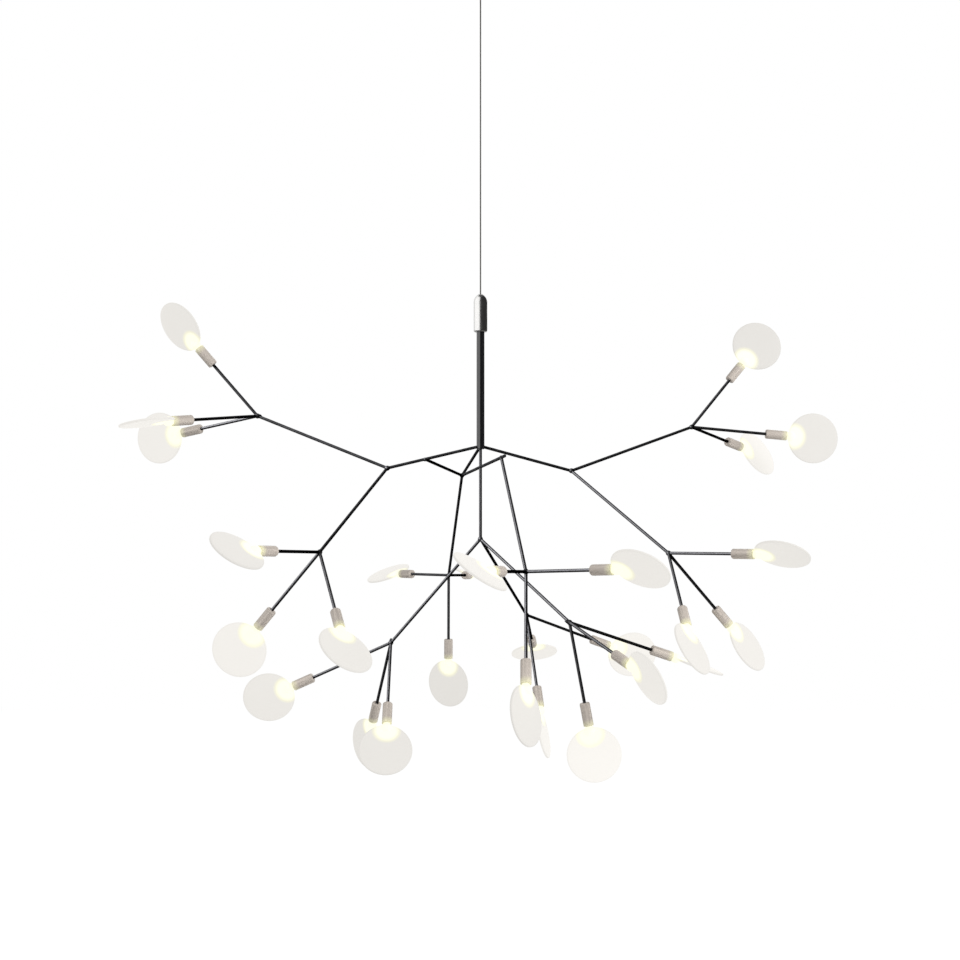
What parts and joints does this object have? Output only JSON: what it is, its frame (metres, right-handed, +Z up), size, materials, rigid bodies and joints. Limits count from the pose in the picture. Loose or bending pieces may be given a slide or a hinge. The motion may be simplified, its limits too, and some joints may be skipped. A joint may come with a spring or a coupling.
{
  "type": "led ceiling chandelier",
  "caption": "Branching pendant lamp of thin black rods on a taut cable, with flat round opal leaves that turn in their lamp sleeves, hung from a round ceiling canopy.",
  "frame": {"origin": "middle of the ceiling plate's top face, which lies against the ceiling", "axes": "+Z up out of the mounting face towards the ceiling, -Y towards the viewer of the picture, +X to that viewer's right; the lamp hangs along -Z"},
  "size_m": [0.7248, 0.6365, 0.8451],
  "materials": {
    "black_rod": "satin",
    "sleeve": "satin",
    "opal_lens": "frosted",
    "light_source": "matte",
    "nickel": "satin",
    "bare_steel": "plain",
    "cable": "stranded",
    "fitting_black": "satin",
    "driver_case": "matte"
  },
  "bodies": {
    "lamp": {"left_arm": "black_rod", "right_arm": "black_rod", "back_arm": "black_rod", "drop_rod": "black_rod", "front_arm": "black_rod", "stay_rods": "black_rod", "hub_plug": "black_rod", "stem_tube": "black_rod", "twig_left_upper": "black_rod", "twig_right_upper": "black_rod", "twig_left_lower": "black_rod", "twig_right_lower": "black_rod", "twig_back": "black_rod", "twig_front": "black_rod", "twig_low_left": "black_rod", "twig_low_back": "black_rod", "twig_low_right": "black_rod", "sleeves_left": "sleeve", "sleeves_right": "sleeve", "sleeves_back": "sleeve", "sleeves_front": "sleeve", "sleeves_low": "sleeve", "light_sources": "light_source", "stem_cap": "nickel", "cable_stops": "bare_steel", "suspension_cable": "cable", "cable_gland": "fitting_black", "gland_nut": "bare_steel", "canopy": "fitting_black", "canopy_screws": "bare_steel", "ceiling_plate": "bare_steel", "led_driver": "driver_case"},
    "leaf_left_upper_1": {"lens_left_upper_1": "opal_lens"},
    "leaf_left_upper_2": {"lens_left_upper_2": "opal_lens"},
    "leaf_left_upper_3": {"lens_left_upper_3": "opal_lens"},
    "leaf_right_upper_1": {"lens_right_upper_1": "opal_lens"},
    "leaf_right_upper_2": {"lens_right_upper_2": "opal_lens"},
    "leaf_right_upper_3": {"lens_right_upper_3": "opal_lens"},
    "leaf_left_lower_1": {"lens_left_lower_1": "opal_lens"},
    "leaf_left_lower_2": {"lens_left_lower_2": "opal_lens"},
    "leaf_left_lower_3": {"lens_left_lower_3": "opal_lens"},
    "leaf_right_lower_1": {"lens_right_lower_1": "opal_lens"},
    "leaf_right_lower_2": {"lens_right_lower_2": "opal_lens"},
    "leaf_right_lower_3": {"lens_right_lower_3": "opal_lens"},
    "leaf_back_1": {"lens_back_1": "opal_lens"},
    "leaf_back_2": {"lens_back_2": "opal_lens"},
    "leaf_back_3": {"lens_back_3": "opal_lens"},
    "leaf_front_1": {"lens_front_1": "opal_lens"},
    "leaf_front_2": {"lens_front_2": "opal_lens"},
    "leaf_front_3": {"lens_front_3": "opal_lens"},
    "leaf_low_left_1": {"lens_low_left_1": "opal_lens"},
    "leaf_low_left_2": {"lens_low_left_2": "opal_lens"},
    "leaf_low_left_3": {"lens_low_left_3": "opal_lens"},
    "leaf_low_back_1": {"lens_low_back_1": "opal_lens"},
    "leaf_low_back_2": {"lens_low_back_2": "opal_lens"},
    "leaf_low_back_3": {"lens_low_back_3": "opal_lens"},
    "leaf_low_right_1": {"lens_low_right_1": "opal_lens"},
    "leaf_low_right_2": {"lens_low_right_2": "opal_lens"},
    "leaf_low_right_3": {"lens_low_right_3": "opal_lens"}
  },
  "joints": [
    {"name": "turn_left_upper_1", "type": "hinge", "parent": "lamp", "child": "leaf_left_upper_1", "pos_m": [-0.26548, -0.01661, -0.43596], "axis": [-0.6536, -0.0572, 0.7547], "continuous": true},
    {"name": "turn_left_upper_2", "type": "hinge", "parent": "lamp", "child": "leaf_left_upper_2", "pos_m": [-0.28213, 0.01165, -0.49685], "axis": [-0.9158, 0.37, -0.1564], "continuous": true},
    {"name": "turn_left_upper_3", "type": "hinge", "parent": "lamp", "child": "leaf_left_upper_3", "pos_m": [-0.27667, -0.06587, -0.4959], "axis": [-0.714, -0.6895, -0.1219], "continuous": true},
    {"name": "turn_right_upper_1", "type": "hinge", "parent": "lamp", "child": "leaf_right_upper_1", "pos_m": [0.26094, 0.0672, -0.44052], "axis": [0.6239, 0.2027, 0.7547], "continuous": true},
    {"name": "turn_right_upper_2", "type": "hinge", "parent": "lamp", "child": "leaf_right_upper_2", "pos_m": [0.29673, 0.05768, -0.49788], "axis": [0.9948, 0.0521, -0.0872], "continuous": true},
    {"name": "turn_right_upper_3", "type": "hinge", "parent": "lamp", "child": "leaf_right_upper_3", "pos_m": [0.26185, 0.08946, -0.50294], "axis": [0.7493, 0.6287, -0.2079], "continuous": true},
    {"name": "turn_left_lower_1", "type": "hinge", "parent": "lamp", "child": "leaf_left_lower_1", "pos_m": [-0.18173, -0.16839, -0.62322], "axis": [-0.5446, -0.8387, 0], "continuous": true},
    {"name": "turn_left_lower_2", "type": "hinge", "parent": "lamp", "child": "leaf_left_lower_2", "pos_m": [-0.19352, -0.10071, -0.67673], "axis": [-0.6327, 0.2178, -0.7431], "continuous": true},
    {"name": "turn_left_lower_3", "type": "hinge", "parent": "lamp", "child": "leaf_left_lower_3", "pos_m": [-0.12752, -0.17579, -0.67593], "axis": [0.2494, -0.7243, -0.6428], "continuous": true},
    {"name": "turn_right_lower_1", "type": "hinge", "parent": "lamp", "child": "leaf_right_lower_1", "pos_m": [0.23689, -0.08518, -0.62439], "axis": [0.8289, -0.5591, -0.0175], "continuous": true},
    {"name": "turn_right_lower_2", "type": "hinge", "parent": "lamp", "child": "leaf_right_lower_2", "pos_m": [0.18745, -0.09736, -0.67501], "axis": [0.0847, -0.6895, -0.7193], "continuous": true},
    {"name": "turn_right_lower_3", "type": "hinge", "parent": "lamp", "child": "leaf_right_lower_3", "pos_m": [0.22789, -0.03525, -0.67673], "axis": [0.6463, 0.1732, -0.7431], "continuous": true},
    {"name": "turn_back_1", "type": "hinge", "parent": "lamp", "child": "leaf_back_1", "pos_m": [-0.07884, 0.24001, -0.64337], "axis": [-0.6017, 0.7985, 0.0175], "continuous": true},
    {"name": "turn_back_2", "type": "hinge", "parent": "lamp", "child": "leaf_back_2", "pos_m": [-0.03582, 0.19128, -0.71609], "axis": [-0.0043, 0.1218, -0.9925], "continuous": true},
    {"name": "turn_back_3", "type": "hinge", "parent": "lamp", "child": "leaf_back_3", "pos_m": [-0.0182, 0.25754, -0.64463], "axis": [0.225, 0.9744, 0], "continuous": true},
    {"name": "turn_front_1", "type": "hinge", "parent": "lamp", "child": "leaf_front_1", "pos_m": [0.09411, -0.22683, -0.64003], "axis": [0.7546, -0.656, 0.0175], "continuous": true},
    {"name": "turn_front_2", "type": "hinge", "parent": "lamp", "child": "leaf_front_2", "pos_m": [0.01843, -0.23245, -0.64129], "axis": [-0.3746, -0.9272, 0], "continuous": true},
    {"name": "turn_front_3", "type": "hinge", "parent": "lamp", "child": "leaf_front_3", "pos_m": [0.03862, -0.21293, -0.7162], "axis": [-0.0142, -0.4065, -0.9135], "continuous": true},
    {"name": "turn_low_left_1", "type": "hinge", "parent": "lamp", "child": "leaf_low_left_1", "pos_m": [-0.16953, 0.03255, -0.74793], "axis": [-0.9085, 0.0955, -0.4067], "continuous": true},
    {"name": "turn_low_left_2", "type": "hinge", "parent": "lamp", "child": "leaf_low_left_2", "pos_m": [-0.09112, -0.01178, -0.77021], "axis": [-0.0092, -0.5298, -0.848], "continuous": true},
    {"name": "turn_low_left_3", "type": "hinge", "parent": "lamp", "child": "leaf_low_left_3", "pos_m": [-0.10633, 0.05535, -0.77551], "axis": [-0.2201, 0.432, -0.8746], "continuous": true},
    {"name": "turn_low_back_1", "type": "hinge", "parent": "lamp", "child": "leaf_low_back_1", "pos_m": [0.05656, 0.17668, -0.71438], "axis": [0.0976, 0.9285, -0.3584], "continuous": true},
    {"name": "turn_low_back_2", "type": "hinge", "parent": "lamp", "child": "leaf_low_back_2", "pos_m": [0.05849, 0.07229, -0.7602], "axis": [0.1165, -0.4062, -0.9063], "continuous": true},
    {"name": "turn_low_back_3", "type": "hinge", "parent": "lamp", "child": "leaf_low_back_3", "pos_m": [0.11894, 0.12392, -0.71312], "axis": [0.9077, 0.2432, -0.342], "continuous": true},
    {"name": "turn_low_right_1", "type": "hinge", "parent": "lamp", "child": "leaf_low_right_1", "pos_m": [0.1212, -0.13356, -0.71577], "axis": [0.5185, -0.7687, -0.3746], "continuous": true},
    {"name": "turn_low_right_2", "type": "hinge", "parent": "lamp", "child": "leaf_low_right_2", "pos_m": [0.09792, -0.07392, -0.76439], "axis": [0.1825, 0.0558, -0.9816], "continuous": true},
    {"name": "turn_low_right_3", "type": "hinge", "parent": "lamp", "child": "leaf_low_right_3", "pos_m": [0.16341, -0.05541, -0.71569], "axis": [0.9142, 0.2621, -0.309], "continuous": true}
  ]
}
